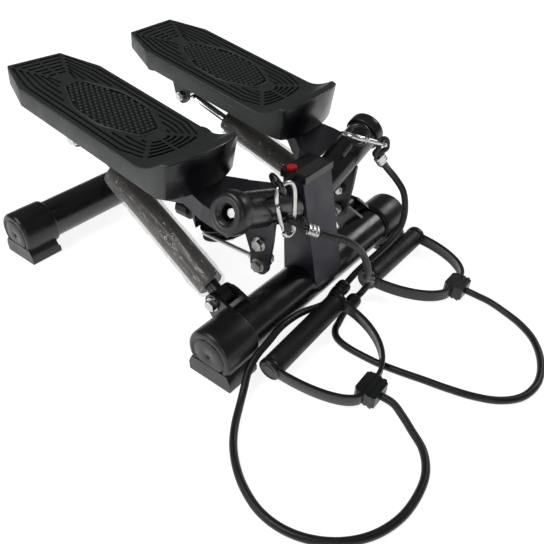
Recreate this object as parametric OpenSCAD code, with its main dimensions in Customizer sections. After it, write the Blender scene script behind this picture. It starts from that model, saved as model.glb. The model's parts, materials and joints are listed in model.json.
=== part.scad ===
// Mini twist stepper with two hydraulic shocks and a pair of elastic arm bands.
// Millimetres, +Z up, -Y is the front (the post side), the user faces -Y, so the
// user's right is -X. The origin is on the floor, at the centre of the footprint.
// Work is done in machine coordinates, centred between the two base tubes, and
// every node is moved by frame_y at the end.

/* [Base] */
// outer radius of both base tubes
base_r = 25; // [20:0.5:30]
// wall of the base tubes
base_wall = 1.5; // [1:0.1:3]
// height of the base tube axis above the floor
base_z = 34.5; // [28:0.5:45]
// distance from the machine centre to each base tube axis
base_y = 172; // [140:1:200]
// half of the overall width over the end caps
half_w = 180; // [150:1:200]
// length of an end cap along the tube
cap_len = 42; // [30:1:60]
// outer radius of an end cap
cap_r = 29; // [26:0.5:34]

/* [Pivots] */
// tilt of each pedal axle, outer end up
pivot_tilt = 20; // [0:1:30]
// height of the two axle lines where they meet
pivot_z = 126.5; // [110:0.5:140]
// distance of the axle lines in front of the machine centre
pivot_y = 157; // [140:1:170]
// outer radius of the sleeve and of the fixed collar
sleeve_r = 19; // [16:0.5:22]
// radius of the axle
axle_r = 10; // [8:0.5:12]
// radial running clearance of the axle in its bushes
run_gap = 0.05; // [0.02:0.01:0.1]
// where the collar ends along the axle
collar_end = 76; // [60:1:90]
// where the sleeve ends along the axle
sleeve_end = 119; // [105:1:130]

/* [Pedals] */
// width of a pedal
pedal_w = 110; // [95:1:130]
// length of a pedal, toe wall included
pedal_l = 285; // [250:1:330]
// thickness of the pedal tray
pedal_t = 22; // [16:1:30]
// distance from the middle plane to a pedal's centre line
pedal_x = 91; // [80:1:110]
// position of the rear edge behind the machine centre
pedal_y = 176; // [150:1:200]
// height of the rear edge of the tread
pedal_z = 238; // [200:1:260]
// slope of the pedal, rear end up
pedal_pitch = 10.5; // [0:0.5:20]
// sideways slope of the pedal, outer edge up
pedal_roll = 2; // [0:0.5:5]

/* [Shocks] */
// radius of the shock body
shock_r = 15; // [12:0.5:20]
// radius of the piston rod
rod_r = 5; // [4:0.5:7]
// distance between the two eyes as drawn
shock_len = 270; // [240:1:300]

/* [Bands] */
// diameter of the elastic cord
cord_d = 8; // [5:0.5:10]
// length of a handle between its outer faces
handle_span = 129; // [110:1:150]
// radius of the foam grip
grip_r = 12.5; // [10:0.5:20]

/* [Frame] */
// shift that puts the origin at the centre of the footprint
frame_y = 65; // [50:0.5:90]

/* [Hidden] */
$fn = 48;
bush_r = 13.5;
sleeve_gap = 0.6;
bolt_r = 4;
spine_slope = 14;
shock_low = [120, -139, 57.5];
shock_top = [88, 108, 161.5];
pulley_c = [0, -36, 46];
pulley_tilt = 17.7;
cable_wrap = 30.2;
cable_far = [66, -117];
lever_x = 72.5;
lever_t = 5;
lever_low = [-155, 84];
lever_up = [-157, 112.5];
ring_s = 87.8;
ring_lift = 36.7;
ring_lean = 47.5;
ring_stem = 28;
ring_r = 10.5;
hook_len = 58;
gate_pin = [-12.3, 19.4];
eye_bore = 7.4;
crimp_l = 12;
loop_r = 6.1;
right_bight = [8.6, 44];
right_wire = [-1.6, 11.4];
left_bight = [0, 58];
left_wire = [1, 0];
right_across = [0.99, -0.13, 0];
left_across = [0.32, 0.94, -0.14];
right_stop = [[19, -224.5, 12], [0, -225.5, 10]];
left_stop = [[22, -207.4, 22.8], [-4, -205.6, 15]];
right_hook = [[-66.5, -179.3, 186.5], [-65, -186, 129]];
left_hook = [[44.5, -175.8, 197], [93.5, -195.8, 173.5]];
right_grip = [-76, -219.5, 20.6];
left_grip = [118, -217, 13.2];
right_lie = [4, 5];
left_lie = [2.3, 0];
right_apex = [-18, -93];
left_apex = [0, -89];
block_out = 13;
strap_h = 15;
strap_t = 4.6;
block_h = 18;
// the two elastic cords, from the crimp at the snap hook to the other handle
right_route = [[-48, -209, 134], [-40, -217, 129], [-28, -226, 122], [-16, -234, 111],
    [-6, -239, 98], [1, -242, 82], [8, -242, 64], [16.5, -236.5, 48.5],
    [32, -235, 37.5], [36.5, -231.5, 27.5], [33.5, -227.5, 19], [27, -225.5, 13.5],
    [19, -224.5, 12], [0, -225.5, 10], [-12, -226.5, 7], [-24, -229, 4.5],
    [-35, -232, 4.3], [-44, -239, 4.3], [-49, -250, 4.3],
    [-51, -264, 4.3], [-51, -281, 4.3], [-50, -299, 4.3], [-46, -322, 4.3], [-41, -345, 4.3],
    [-36, -370, 4.3], [-29, -395, 4.3], [-18, -417, 4.3], [0, -433, 4.3], [24, -439, 4.3],
    [48, -436, 4.3], [72, -426, 4.3], [92, -411, 4.3], [106, -392, 4.3], [115, -371, 4.3],
    [119, -350, 6.5]];
left_route = [[98, -196, 150], [106, -199, 139], [114, -206.5, 126], [118, -217, 111],
    [117, -223, 95], [113, -226, 79], [105, -226, 65], [92, -223, 54], [75, -219, 46],
    [57, -214, 38], [40, -210, 31], [22, -207.4, 22.8], [-4, -205.6, 15], [-20, -203.5, 15.5], [-37, -202.5, 21],
    [-56, -202.5, 29], [-78, -202.5, 34.5], [-100, -203, 36.5], [-122, -205, 34],
    [-142, -205.5, 29], [-158, -208, 21], [-172, -214, 11], [-188, -222, 6],
    [-207, -233, 4.3], [-225, -247, 4.3], [-240, -264, 4.3], [-252, -284, 4.3], [-260, -308, 4.3],
    [-260, -333, 4.3], [-252, -357, 4.3], [-237, -378, 4.3], [-216, -394, 4.3], [-190, -403, 4.3],
    [-163, -404, 4.3], [-139, -399, 4.3], [-119, -386, 4.3], [-106, -367, 4.8], [-97.5, -352, 6.8]];

black = [0.05, 0.05, 0.055];
satin = [0.12, 0.12, 0.13];
charcoal = [0.2, 0.21, 0.21];
steel = [0.75, 0.75, 0.74];
red = [0.8, 0.06, 0.04];
clear = [0.8, 0.82, 0.82, 0.4];
nylon = [0.85, 0.85, 0.8];

// ---------------------------------------------------------------- helpers

function unit(v) = v / norm(v);
function tangents(p) = let (n = len(p) - 1)
    [for (i = [0:n]) unit(p[min(i + 1, n)] - p[max(i - 1, 0)])];
function start_normal(t) = unit(cross(t, abs(t[2]) < 0.8 ? [0, 0, 1] : [1, 0, 0]));
// normals carried along the route without twist
function carried(t) = [for (i = 0, n = start_normal(t[0]); i < len(t);
    i = i + 1, n = i < len(t) ? unit(n - (n * t[i]) * t[i]) : n) n];
// points of a smooth curve through p, m steps per span
function curve(p, m) = let (n = len(p) - 1) concat([for (i = [0:n - 1], j = [0:m - 1])
    let (a = p[max(i - 1, 0)], b = p[i], c = p[i + 1], d = p[min(i + 2, n)], u = j / m)
    0.5 * (2 * b + (c - a) * u + (2 * a - 5 * b + 4 * c - d) * u * u
        + (3 * b - a - 3 * c + d) * u * u * u)], [p[n]]);

// round bar along the points p
module bar_along(p, r, k = 8) {
    t = tangents(p);
    n = carried(t);
    m = len(p);
    points = [for (i = [0:m - 1], j = [0:k - 1])
        p[i] + r * (cos(360 * j / k) * n[i] + sin(360 * j / k) * cross(t[i], n[i]))];
    sides = [for (i = [0:m - 2], j = [0:k - 1])
        [i * k + j, (i + 1) * k + j, (i + 1) * k + (j + 1) % k, i * k + (j + 1) % k]];
    polyhedron(points, concat([[for (j = [0:k - 1]) j]], sides,
        [[for (j = [k - 1:-1:0]) (m - 1) * k + j]]), convexity = 8);
}

module in_frame() translate([0, frame_y, 0]) children();

// draws the +X side as it is, and the -X side as its mirror image
module mirrored(s) if (s < 0) mirror([1, 0, 0]) children(); else children();
module sided(s) in_frame() mirrored(s) children();

// along the axle of the +X side, whose own X axis runs outwards
module on_axle() translate([0, -pivot_y, pivot_z]) rotate([0, -pivot_tilt, 0]) children();

module rod_x(r, x0, x1) translate([x0, 0, 0]) rotate([0, 90, 0]) cylinder(r = r, h = x1 - x0);

// rear edge of the +X pedal, tread in the XY plane, toe towards -Y
module on_pedal() translate([pedal_x, pedal_y, pedal_z])
    rotate([pedal_pitch, 0, 0]) rotate([0, -pedal_roll, 0]) children();

// Z runs up the shock of the +X side from its lower eye
module on_shock() {
    d = shock_top - shock_low;
    translate(shock_low) rotate([0, 0, atan2(d[1], d[0])])
        rotate([0, acos(d[2] / norm(d)), 0]) children();
}

// pulley plane, its Z along the pulley's bolt
module on_pulley() translate(pulley_c) rotate([-pulley_tilt, 0, 0]) children();

// ---------------------------------------------------------------- base

module base_tube(y) in_frame() color(black) translate([0, y, base_z]) difference() {
    rod_x(base_r, -half_w + 4, half_w - 4);
    rod_x(base_r - base_wall, -half_w + 3, half_w - 3);
}
module front_base_tube() base_tube(-base_y);
module rear_base_tube() base_tube(base_y);

// end cap of the +X end: socket over the tube, flat foot with an inward toe
module end_cap(y) color(satin) translate([0, y, 0]) difference() {
    union() {
        translate([half_w - cap_len, 0, base_z]) rotate([0, 90, 0]) rotate_extrude($fn = 72)
            polygon([[0, 0], [cap_r, 0], [cap_r, cap_len - 4], [cap_r - 1.2, cap_len - 1.2],
                [cap_r - 4, cap_len], [cap_r - 7, cap_len], [cap_r - 7.5, cap_len - 1],
                [20, cap_len - 1], [19.5, cap_len - 2], [1.6, cap_len - 2],
                [1.2, cap_len - 3], [0, cap_len - 3]]);
        rotate([90, 0, 90]) translate([0, 0, half_w - cap_len]) linear_extrude(cap_len - 1)
            polygon([[-cap_r, 1], [-cap_r + 1, 0], [cap_r - 1, 0], [cap_r, 1], [cap_r, 12],
                [cap_r - 4, 20], [-cap_r + 4, 20], [-cap_r, 12]]);
        translate([half_w - cap_len - 3, -cap_r + 1, 0])
            rotate([90, 0, 90]) linear_extrude(8) square([2 * cap_r - 2, 8]);
    }
    translate([0, 0, base_z]) rod_x(base_r, half_w - cap_len - 9, half_w - 4);
}
module front_right_cap() sided(-1) end_cap(-base_y);
module front_left_cap() sided(1) end_cap(-base_y);
module rear_right_cap() sided(-1) end_cap(base_y);
module rear_left_cap() sided(1) end_cap(base_y);

// side outline of the post as [y, z] points, moved in by w
function post_side(w) = [[-196 + w, 42], [-172.5 + w, 165], [-146 - w, 165], [-150 - w, 42]];
module upright_post() in_frame() color(satin) difference() {
    rotate([90, 0, 90]) translate([0, 0, -25]) linear_extrude(50) polygon(post_side(0));
    rotate([90, 0, 90]) translate([0, 0, -22]) linear_extrude(44) polygon(post_side(3));
    translate([0, -base_y, base_z]) rod_x(base_r, -30, 30);
    for (s = [-1, 1]) mirrored(s) on_axle() rod_x(axle_r, -5, 60);
}

// rectangular beam from the post down to the rear tube
module beam_bar(w, h) translate([0, 150, 47]) rotate([-spine_slope, 0, 0])
    translate([-w / 2, -330, -h / 2]) cube([w, 360, h]);
module spine_beam() in_frame() color(black) difference() {
    beam_bar(40, 25);
    beam_bar(35, 20);
    translate([-40, -400, 0]) cube([80, 400 - 149 + 0.9, 300]);
    rotate([90, 0, 90]) translate([0, 0, -40]) linear_extrude(80)
        polygon([[-196, 42], [-172.5, 165], [-146, 165], [-150, 42]]);
    translate([0, base_y, base_z]) rod_x(base_r, -40, 40);
    translate([-40, base_y + 8, 0]) cube([80, 60, 120]);
}

// ---------------------------------------------------------------- monitor

module monitor_body_2d(w) translate([-25 + w, -175 + w]) square([50 - 2 * w, 33 - 2 * w]);
module monitor_housing() in_frame() color(black) difference() {
    union() {
        translate([0, 0, 165]) linear_extrude(8) monitor_body_2d(0);
        translate([-20, -168, 157]) cube([40, 18.2, 8]);
    }
    translate([-22, -172, 167]) cube([44, 27, 4]);
    translate([-18, -166, 150]) cube([36, 15, 20]);
    translate([-21, -173, 172]) cube([42, 15, 2]);
    translate([-16, -150.5, 170]) cylinder(r = 5.6, h = 4);
}
module monitor_lens() in_frame() color(charcoal)
    translate([-21, -173, 172]) cube([42, 15, 1]);
module monitor_button() in_frame() color(red) translate([-16, -150.5, 0]) {
    translate([0, 0, 171.2]) cylinder(r = 5.4, h = 4.3);
    translate([0, 0, 169.6]) cylinder(r = 3, h = 1.7);
}

// ---------------------------------------------------------------- pivots

module axle() color(black) difference() {
    on_axle() union() {
        rod_x(sleeve_r, 8, collar_end);
        rod_x(axle_r, 8, sleeve_end + 0.4);
    }
    translate([-60, -250, 0]) cube([85, 200, 300]);
    on_axle() rod_x(bolt_r, sleeve_end - 24, sleeve_end + 2);
}
module right_axle() sided(-1) axle();
module left_axle() sided(1) axle();

// eye on a stem welded on top of the collar, leaning outwards and to the front
module eye_ring() color(black) difference() {
    on_axle() rotate([30, 0, 0]) translate([ring_s, 0, ring_lift]) rotate([0, ring_lean, 0]) {
        rotate([0, 90, 0]) rotate_extrude($fn = 40) translate([ring_r, 0])
            circle(r = 2.6, $fn = 16);
        translate([0, 0, -ring_stem]) cylinder(r = 3, h = ring_stem - ring_r);
    }
    on_axle() rod_x(sleeve_r, 0, collar_end + 0.1);
}
module right_eye_ring() sided(-1) eye_ring();
module left_eye_ring() sided(1) eye_ring();

module pivot_bolt() on_axle() {
    translate([sleeve_end + 0.4, 0, 0]) rod_x(13, 0, 2);
    rod_x(bolt_r, sleeve_end - 22, sleeve_end + 3);
    translate([sleeve_end + 2.4, 0, 0]) rotate([0, 90, 0]) cylinder(r = 6, h = 5, $fn = 6);
}
module pivot_bolts() color(steel) for (s = [-1, 1]) sided(s) pivot_bolt();

// ---------------------------------------------------------------- pedal arms

module sleeve() color(black) on_axle() difference() {
    rod_x(sleeve_r, collar_end + sleeve_gap, sleeve_end);
    rod_x(bush_r, collar_end - 1, sleeve_end + 1);
}
module bushes() color(nylon) on_axle() for (x = [collar_end + sleeve_gap, sleeve_end - 14])
    difference() {
        rod_x(bush_r, x, x + 14);
        rod_x(axle_r + run_gap, x - 1, x + 15);
    }

// domed end cap, which turns with the sleeve
module pivot_cap() color(satin) on_axle() translate([sleeve_end, 0, 0]) rotate([0, 90, 0])
    rotate_extrude($fn = 64) polygon([[14.5, 0], [22, 0], [22, 10], [21, 13.2], [18.5, 15.4],
        [15.5, 16], [9.5, 16], [8, 14.8], [8, 10.6], [14.5, 10.6]]);

// plan of the channel arm in the pedal's own plane, moved in by w
function arm_plan(w) = [[24 - w, -338 + w], [24 - w, -300], [17 - w, -262], [15 - w, -52 - w],
    [-15 + w, -52 - w], [-17 + w, -262], [-46 + w, -300], [-46 + w, -338 + w]];
module arm() color(satin) difference() {
    union() {
        on_pedal() translate([0, 0, -pedal_t - 20]) difference() {
            linear_extrude(20) polygon(arm_plan(0));
            translate([0, 0, -1]) linear_extrude(18) polygon(arm_plan(3));
        }
        for (x = [-15, 11]) translate([shock_top[0] + x, 0, 0]) rotate([90, 0, 90])
            linear_extrude(4) polygon([[90, 196], [126, 196], [119, 160], [115, 153], [108, 150.5],
                [101, 153], [97, 160]]);
    }
    on_axle() rod_x(sleeve_r, collar_end + sleeve_gap, sleeve_end);
    on_axle() rod_x(sleeve_r + 2.5, 10, collar_end + sleeve_gap + 1);
    on_axle() rod_x(24, sleeve_end - 0.3, sleeve_end + 40);
    translate(shock_top) rod_x(bolt_r, -40, 40);
    on_pedal() translate([-80, -300, -pedal_t]) cube([160, 400, 60]);
}

// hanging lever that pulls the cable
module lever() color(satin) difference() {
    translate([lever_x, 0, 0]) rotate([90, 0, 90]) linear_extrude(lever_t) union() {
        polygon([[-136, 146], [-136, 119], [-143.5, 97], [lever_low[0] + 12, lever_low[1]],
            [lever_low[0] - 12, lever_low[1]], [-173, 119], [-176, 146]]);
        translate(lever_low) circle(r = 12);
    }
    on_axle() rod_x(sleeve_r, 20, sleeve_end);
    for (p = [lever_low, lever_up]) translate([0, p[0], p[1]]) rod_x(bolt_r, 60, 90);
}

module hex_bolt(p, head_x, end_x) translate(p) {
    rod_x(bolt_r, end_x, head_x);
    translate([head_x, 0, 0]) rod_x(8, 0, 1.4);
    translate([head_x + 1.4, 0, 0]) rotate([0, 90, 0]) cylinder(r = 6.6, h = 5, $fn = 6);
    translate([end_x + 2, 0, 0]) rotate([0, 90, 0]) cylinder(r = 6.6, h = 5, $fn = 6);
}
module arm_bolts() color(steel) {
    hex_bolt([lever_x, lever_up[0], lever_up[1]], lever_t, -7);
    hex_bolt([lever_x, lever_low[0], lever_low[1]], lever_t, -16.5);
    hex_bolt(shock_top, 15, -22);
}

// ---------------------------------------------------------------- pedals

function pedal_plan(w) = [[36 - 0.4 * w, -w], [55 - w, -50], [55 - w, -248], [38 - 0.6 * w, -pedal_l + w],
    [-38 + 0.6 * w, -pedal_l + w], [-55 + w, -248], [-55 + w, -50], [-36 + 0.4 * w, -w]];
module pedal() color(charcoal) on_pedal() difference() {
    union() {
        translate([0, 0, -pedal_t]) linear_extrude(pedal_t) polygon(pedal_plan(0));
        difference() {
            linear_extrude(40) polygon(pedal_plan(0));
            translate([-60, -238, -1]) cube([120, 260, 60]);
            translate([0, -140, -1]) cylinder(r = 133, h = 60, $fn = 96);
            rotate([90, 0, 0]) linear_extrude(400) polygon([[-60, 14], [-40, 22], [-22, 27], [0, 28],
                [22, 27], [40, 22], [60, 14], [60, 60], [-60, 60]]);
        }
    }
    translate([0, 0, -pedal_t - 1]) linear_extrude(pedal_t - 3) polygon(pedal_plan(4));
}
module bumper() color(black) on_pedal() translate([-29, -38, -pedal_t - 14]) difference() {
    union() {
        cylinder(r = 10, h = 14);
        translate([0, 0, 14]) cylinder(r = 6, h = 18);
    }
    translate([0, 0, -1]) cylinder(r = 3, h = 5);
}

module right_sleeve() sided(-1) sleeve();
module right_bushes() sided(-1) bushes();
module right_arm() sided(-1) arm();
module right_lever() sided(-1) lever();
module right_pivot_cap() sided(-1) pivot_cap();
module right_bolts() sided(-1) arm_bolts();
module right_pedal() sided(-1) pedal();
module right_bumper() sided(-1) bumper();
module left_sleeve() sided(1) sleeve();
module left_bushes() sided(1) bushes();
module left_arm() sided(1) arm();
module left_lever() sided(1) lever();
module left_pivot_cap() sided(1) pivot_cap();
module left_bolts() sided(1) arm_bolts();
module left_pedal() sided(1) pedal();
module left_bumper() sided(1) bumper();

// ---------------------------------------------------------------- shocks

module clevis() color(black) difference() {
    for (x = [-14, 10]) translate([shock_low[0] + x, 0, 0]) rotate([90, 0, 90])
        linear_extrude(4) union() {
            polygon([[-176, 58], [-150, 68.5], [-139, 68.5], [-128, 57.5], [-128, 50], [-148, 20]]);
            translate([-139, 57.5]) circle(r = 11);
        }
    translate([0, -base_y, base_z]) rod_x(base_r, 60, 160);
    translate(shock_low) rod_x(bolt_r, -40, 40);
}
module right_clevis() sided(-1) clevis();
module left_clevis() sided(1) clevis();
module lower_shock_bolts() color(steel) for (s = [-1, 1]) sided(s) hex_bolt(shock_low, 14, -21);

module shock_body() color(black) {
    difference() {
        union() {
            on_shock() translate([0, 0, 6]) cylinder(r = 8, h = 15);
            on_shock() translate([0, 0, 20]) difference() {
                union() {
                    cylinder(r = shock_r, h = 176);
                    cylinder(r = 13, h = 183);
                }
                translate([0, 0, 8]) cylinder(r = shock_r - 2, h = 164);
                translate([0, 0, 20]) cylinder(r = rod_r + run_gap, h = 200);
            }
            translate(shock_low) rod_x(11, -8, 8);
        }
        translate(shock_low) rotate([0, -pivot_tilt, 0]) rod_x(eye_bore, -20, 20);
    }
}
module shock_film() color(clear) on_shock() translate([0, 0, 16]) difference() {
    cylinder(r = 19.5, h = 184);
    translate([0, 0, -1]) cylinder(r = 18.7, h = 190);
}
module shock_rod() color(steel) {
    difference() {
        union() {
            on_shock() translate([0, 0, 100]) cylinder(r = rod_r, h = shock_len - 100);
            on_shock() translate([0, 0, 94]) cylinder(r = shock_r - 2.1, h = 10);
            translate(shock_top) rod_x(10, -8, 8);
        }
        translate(shock_top) rod_x(6.4, -20, 20);
    }
}
module right_shock_body() sided(-1) shock_body();
module right_shock_film() sided(-1) shock_film();
module right_shock_rod() sided(-1) shock_rod();
module left_shock_body() sided(1) shock_body();
module left_shock_film() sided(1) shock_film();
module left_shock_rod() sided(1) shock_rod();

// ---------------------------------------------------------------- cable drive

module pulley_bracket() in_frame() color(black) difference() {
    union() {
        on_pulley() for (z = [-14, 10]) translate([0, 0, z]) {
            cylinder(r = 12, h = 4);
            translate([-12, 0, 0]) cube([24, 44, 4]);
        }
        translate([-18, 4, 24]) cube([36, 4, 60]);
    }
    on_pulley() translate([0, 0, -30]) cylinder(r = bolt_r, h = 60);
    on_pulley() translate([-30, 41.6, -40]) cube([60, 60, 60]);
    translate([-20, -60, 24]) mirror([0, 0, 1]) cube([40, 100, 40]);
    translate([0, -10, 46]) rotate([-90, 0, 0]) cylinder(r = bolt_r, h = 30);
    beam_bar(42, 25);
    translate([-40, -60, 84]) cube([80, 100, 60]);
}
module pulley_bolt() in_frame() color(steel) on_pulley() {
    translate([0, 0, -18]) cylinder(r = bolt_r, h = 36);
    translate([0, 0, 14]) cylinder(r = 8, h = 1.4);
    translate([0, 0, 15.4]) cylinder(r = 6.6, h = 5, $fn = 6);
    translate([0, 0, -19.5]) cylinder(r = 6.6, h = 5.5, $fn = 6);
}
module pulley() in_frame() color(black) on_pulley() rotate_extrude($fn = 72)
    polygon([[bolt_r + run_gap, -9], [12, -9], [12, -7], [34, -7], [34, -5.5], [28, -2.5],
        [27, 0], [28, 2.5], [34, 5.5], [34, 7], [12, 7], [12, 9], [bolt_r + run_gap, 9]]);
module adjuster_knob() in_frame() color(black) translate([0, 0, 46]) rotate([-90, 0, 0]) {
    difference() {
        union() {
            translate([0, 0, 26]) cylinder(r = 14, h = 20, $fn = 12);
            translate([0, 0, 20]) cylinder(r = 9, h = 6);
            cylinder(r = bolt_r - run_gap, h = 24);
        }
        translate([0, 0, 41]) cylinder(r = 8, h = 8);
    }
}

// half of the cable in the pulley's plane: eye, straight run, quarter turn in the groove
function cable_pts() = let (d = atan2(cable_far[1], cable_far[0]),
    a = d + acos(cable_wrap / norm(cable_far))) concat([[cable_far[0], cable_far[1], 0]],
    [for (i = [0:9]) let (g = a + (90 - a) * i / 9) [cable_wrap * cos(g), cable_wrap * sin(g), 0]]);
module cable() color(steel) {
    on_pulley() bar_along(cable_pts(), 2.6, 8);
    translate([0, lever_low[0], lever_low[1]]) difference() {
        rod_x(8, 63, 71.5);
        rod_x(4.6, 60, 75);
    }
}
module right_cable() sided(-1) cable();
module left_cable() sided(1) cable();

// ---------------------------------------------------------------- bands

// outline of the snap hook as [across, down] points, wide end at the ring
function hook_side() = [[-12.4, 17], [-12, 9], [-8, 2.2], [0, 0], [8, 2.2], [12, 9],
    [12.4, 17], [11, 27], [9.3, 38], [8.2, 47], [7.6, 51], [5.6, 55.8], [0, hook_len],
    [-5.6, 55.8], [-7.6, 51]];
// frame of a hook: X across it, Y down its length, origin at the top of the wide end
module on_hook(ends, across) {
    d = unit(ends[1] - ends[0]);
    a = unit(across - (across * d) * d);
    n = cross(a, d);
    multmatrix([[a[0], d[0], n[0], ends[0][0]], [a[1], d[1], n[1], ends[0][1]],
        [a[2], d[2], n[2], ends[0][2]]]) children();
}
function hook_point(ends, across, p) = let (d = unit(ends[1] - ends[0]),
    a = unit(across - (across * d) * d)) ends[0] + p[0] * a + p[1] * d;
function flat3(p) = [for (q = p) [q[0], q[1], 0]];
module snap_hook(ends, across) in_frame() color(steel) on_hook(ends, across)
    bar_along(curve(flat3(hook_side()), 3), 2.4, 10);
module gate(ends, across) in_frame() color(steel) on_hook(ends, across)
    union() {
        bar_along(flat3([[-8, 48.4], [-9.6, 37], [-11.2, 27], gate_pin]), 2.3, 10);
        translate([gate_pin[0], gate_pin[1], -2.9]) cylinder(r = 1.2, h = 5.8);
    }
module right_snap_hook() snap_hook(right_hook, right_across);
module right_hook_gate() gate(right_hook, right_across);
module left_snap_hook() snap_hook(left_hook, left_across);
module left_hook_gate() gate(left_hook, left_across);

// loop of cord from the crimp's end p, round the hook's wire at c, whose run is w
function loop_route(c, w, p, t) = let (g = c - p, e = unit(g - (g * w) * w),
    v = unit(cross(w, e)), r = loop_r) concat(
    [p + 3.4 * v, p + 3.4 * v + 5 * t, c + r * v - 5 * e],
    [for (i = [0:6]) c + r * (cos(i * 30) * v + sin(i * 30) * e)],
    [c - r * v - 5 * e, p - 3.4 * v + 5 * t, p - 3.4 * v]);
function crimp_dir(route) = unit(route[0] - route[1]);
module band_loop(ends, across, at, run, route) in_frame() {
    t = crimp_dir(route);
    w = unit(hook_point(ends, across, run) - hook_point(ends, across, [0, 0]));
    bar_along(loop_route(hook_point(ends, across, at), w, route[0] + crimp_l * t, t), 3.2, 8);
}
module band_loops() color(black) {
    band_loop(right_hook, right_across, right_bight, right_wire, right_route);
    band_loop(left_hook, left_across, left_bight, left_wire, left_route);
}
module crimp(route, c, w) in_frame() {
    t = crimp_dir(route);
    g = c - route[0];
    e = unit(g - (g * w) * w);
    v0 = cross(w, e);
    v = unit(v0 - (v0 * t) * t);
    n = cross(v, t);
    multmatrix([[v[0], n[0], t[0], route[0][0]], [v[1], n[1], t[1], route[0][1]],
        [v[2], n[2], t[2], route[0][2]]]) linear_extrude(crimp_l) {
        for (x = [-3, 3]) translate([x, 0]) circle(r = 4.4);
        square([6, 8.8], center = true);
    }
}
module band_crimps() color(steel) {
    crimp(right_route, hook_point(right_hook, right_across, right_bight),
        unit(right_hook[1] - right_hook[0]));
    crimp(left_route, hook_point(left_hook, left_across, left_bight),
        unit(left_hook[1] - left_hook[0]));
}

module band_cord(p) in_frame() color(black) bar_along(p, cord_d / 2, 8);
module right_band_cord()
    band_cord(concat(right_route, cord_tail(left_grip, left_lie, left_apex)));
module left_band_cord()
    band_cord(concat(left_route, cord_tail(right_grip, right_lie, right_apex)));
// moulded stopper the cord is threaded through, from a to b
module stopper(a, b) in_frame() {
    d = b - a;
    translate(a) rotate([0, 0, atan2(d[1], d[0])]) rotate([0, acos(d[2] / norm(d)), 0])
        difference() {
            rotate_extrude($fn = 40) polygon([[0, 0], [7, 0], [8.5, 3], [9, norm(d) * 0.5],
                [7.5, norm(d) - 2], [6.5, norm(d)], [0, norm(d)]]);
            translate([0, 0, -1]) cylinder(r = cord_d / 2 + 0.4, h = norm(d) + 2);
        }
}
module band_stoppers() color(satin) {
    stopper(right_stop[0], right_stop[1]);
    stopper(left_stop[0], left_stop[1]);
}

// flat strap from one end of the grip round the apex block to the other end
function strap_mid(a) = let (h = handle_span / 2 - 4) concat([[-h, 4]],
    [for (t = [0:15:90]) [-h + (a[0] - 12 + h) * (1 - cos(t)), (a[1] + 1) * sin(t)]],
    [for (t = [90:-15:0]) [h - (h - a[0] - 12) * (1 - cos(t)), (a[1] + 1) * sin(t)]],
    [[h, 4]]);
function side_of(p, w) = let (n = len(p) - 1) [for (i = [0:n])
    let (t = unit(p[min(i + 1, n)] - p[max(i - 1, 0)])) p[i] + w * [-t[1], t[0]]];
module on_handle(c, lie) in_frame() translate(c) rotate([lie[0], -lie[1], 0]) children();
module handle_frame(c, lie, a) color(satin) on_handle(c, lie) {
    m = curve(strap_mid(a), 2);
    translate([0, 0, -strap_h / 2]) linear_extrude(strap_h)
        polygon(concat(side_of(m, strap_t / 2),
            [for (i = [len(m) - 1:-1:0]) side_of(m, -strap_t / 2)[i]]));
    for (s = [-1, 1]) translate([s * (handle_span / 2 - 4), 0, 0]) rod_x(13, -4, 4);
    rod_x(6, -handle_span / 2 + 4, handle_span / 2 - 4);
    translate([a[0] - 14, a[1] - block_out, -block_h / 2]) cube([28, 24, block_h]);
}
module handle_grip(c, lie) color(black) on_handle(c, lie) difference() {
    rod_x(grip_r, -handle_span / 2 + 8.3, handle_span / 2 - 8.3);
    rod_x(6 + run_gap, -handle_span, handle_span);
}
// a point of a handle and the last stretch of the cord that ends on its block
function lie_turn(p, lie) = let (y = p[1] * cos(lie[0]) - p[2] * sin(lie[0]),
    z = p[1] * sin(lie[0]) + p[2] * cos(lie[0]))
    [p[0] * cos(lie[1]) - z * sin(lie[1]), y, p[0] * sin(lie[1]) + z * cos(lie[1])];
function cord_tail(c, lie, a) = [for (d = [14, 0])
    c + lie_turn([a[0], a[1] - block_out - d, 0], lie)];
module right_handle_frame() handle_frame(right_grip, right_lie, right_apex);
module right_handle_grip() handle_grip(right_grip, right_lie);
module left_handle_frame() handle_frame(left_grip, left_lie, left_apex);
module left_handle_grip() handle_grip(left_grip, left_lie);

front_base_tube();
rear_base_tube();
front_right_cap();
front_left_cap();
rear_right_cap();
rear_left_cap();
spine_beam();
upright_post();
monitor_housing();
monitor_lens();
monitor_button();
right_axle();
left_axle();
right_eye_ring();
left_eye_ring();
pivot_bolts();
right_clevis();
left_clevis();
lower_shock_bolts();
pulley_bracket();
pulley_bolt();
pulley();
adjuster_knob();
right_cable();
left_cable();
right_sleeve();
right_bushes();
right_arm();
right_lever();
right_pivot_cap();
right_bolts();
right_pedal();
right_bumper();
left_sleeve();
left_bushes();
left_arm();
left_lever();
left_pivot_cap();
left_bolts();
left_pedal();
left_bumper();
right_shock_body();
right_shock_film();
right_shock_rod();
left_shock_body();
left_shock_film();
left_shock_rod();
right_snap_hook();
right_hook_gate();
left_snap_hook();
left_hook_gate();
band_loops();
band_crimps();
right_band_cord();
left_band_cord();
band_stoppers();
right_handle_frame();
right_handle_grip();
left_handle_frame();
left_handle_grip();
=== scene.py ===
"""Looks for the mini twist stepper. Lengths in the helpers are millimetres in machine coordinates."""
import bpy, math, json
from mathutils import Vector, Matrix, noise

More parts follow.
